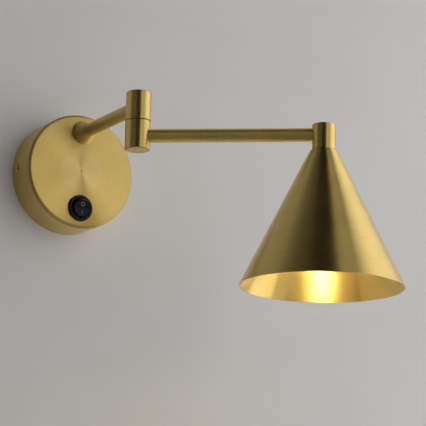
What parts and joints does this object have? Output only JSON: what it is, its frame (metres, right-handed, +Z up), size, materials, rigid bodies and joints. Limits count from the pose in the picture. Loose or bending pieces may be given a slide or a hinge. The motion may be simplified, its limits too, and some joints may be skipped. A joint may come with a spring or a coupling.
{
  "type": "swing-arm wall lamp",
  "caption": "Swing-arm wall lamp: round wall canopy with rocker switch, level jointed arm that turns at an elbow, and a cone shade hanging from the arm's end.",
  "frame": {"origin": "on the wall, behind the middle of the round canopy, midway between the two wall screws", "axes": "+Z up, +Y into the wall, -Y out into the room, +X to the right for someone facing the wall"},
  "size_m": [0.2424, 0.2931, 0.1675],
  "materials": {
    "satin_brass": "satin antique brass, brushed, lacquered",
    "turned_brass": "plain turned brass",
    "zinc_steel": "bright zinc plate",
    "black_nylon": "semi-gloss black nylon",
    "white_nylon": "natural nylon",
    "black_rubber": "soft black rubber",
    "ceramic": "unglazed white ceramic",
    "frosted_glass": "frosted, lit from inside",
    "light_column": "yellow phosphor, lit",
    "black_flex": "black sheathed flex"
  },
  "bodies": {
    "wall_base": {"wall_bracket": "zinc_steel", "cable_grommet": "black_rubber", "earth_screw": "zinc_steel", "cover_screws": "satin_brass", "canopy_cover": "satin_brass", "terminal_block": "white_nylon", "terminal_sleeves": "turned_brass", "terminal_screws": "zinc_steel", "switch_housing": "black_nylon", "switch_terminals": "turned_brass", "arm_flange": "satin_brass", "arm_stud": "zinc_steel", "arm_washer": "zinc_steel", "arm_nut": "zinc_steel", "inner_arm_tube": "satin_brass", "upper_knuckle": "satin_brass", "upper_cap": "satin_brass", "pivot_sleeve": "turned_brass", "friction_washer": "white_nylon", "wave_washer": "zinc_steel", "pivot_nut": "turned_brass", "inner_flex": "black_flex", "switch_leads": "black_flex"},
    "swing_arm": {"lower_knuckle": "satin_brass", "lower_cap": "satin_brass", "outer_arm_tube": "satin_brass", "head_barrel": "satin_brass", "head_stud": "zinc_steel", "head_nut": "zinc_steel", "shade": "satin_brass", "lamp_stirrup": "zinc_steel", "holder_rivets": "zinc_steel", "lampholder": "ceramic", "holder_contacts": "turned_brass", "lamp_base": "ceramic", "lamp_pins": "zinc_steel", "lamp_core": "light_column", "lamp_cover": "frosted_glass", "outer_flex": "black_flex"},
    "rocker": {"switch_rocker": "black_nylon", "switch_plunger": "white_nylon", "switch_spring": "zinc_steel"},
    "seesaw": {"switch_seesaw": "turned_brass"}
  },
  "joints": [
    {"name": "elbow_swing", "type": "hinge", "parent": "wall_base", "child": "swing_arm", "pos_m": [0, -0.1337, 0.022], "axis": [0, 0, 1], "range_deg": [-163, 57]},
    {"name": "switch_rock", "type": "hinge", "parent": "wall_base", "child": "rocker", "pos_m": [0, -0.0336, -0.0327], "axis": [1, 0, 0], "range_deg": [-18, 0]},
    {"name": "seesaw_rock", "type": "hinge", "parent": "wall_base", "child": "seesaw", "pos_m": [0, -0.02243, -0.0327], "axis": [1, 0, 0], "range_deg": [0, 12]}
  ],
  "couplings": [
    {"joint": "seesaw_rock", "follows": "switch_rock", "ratio": -0.6666}
  ]
}
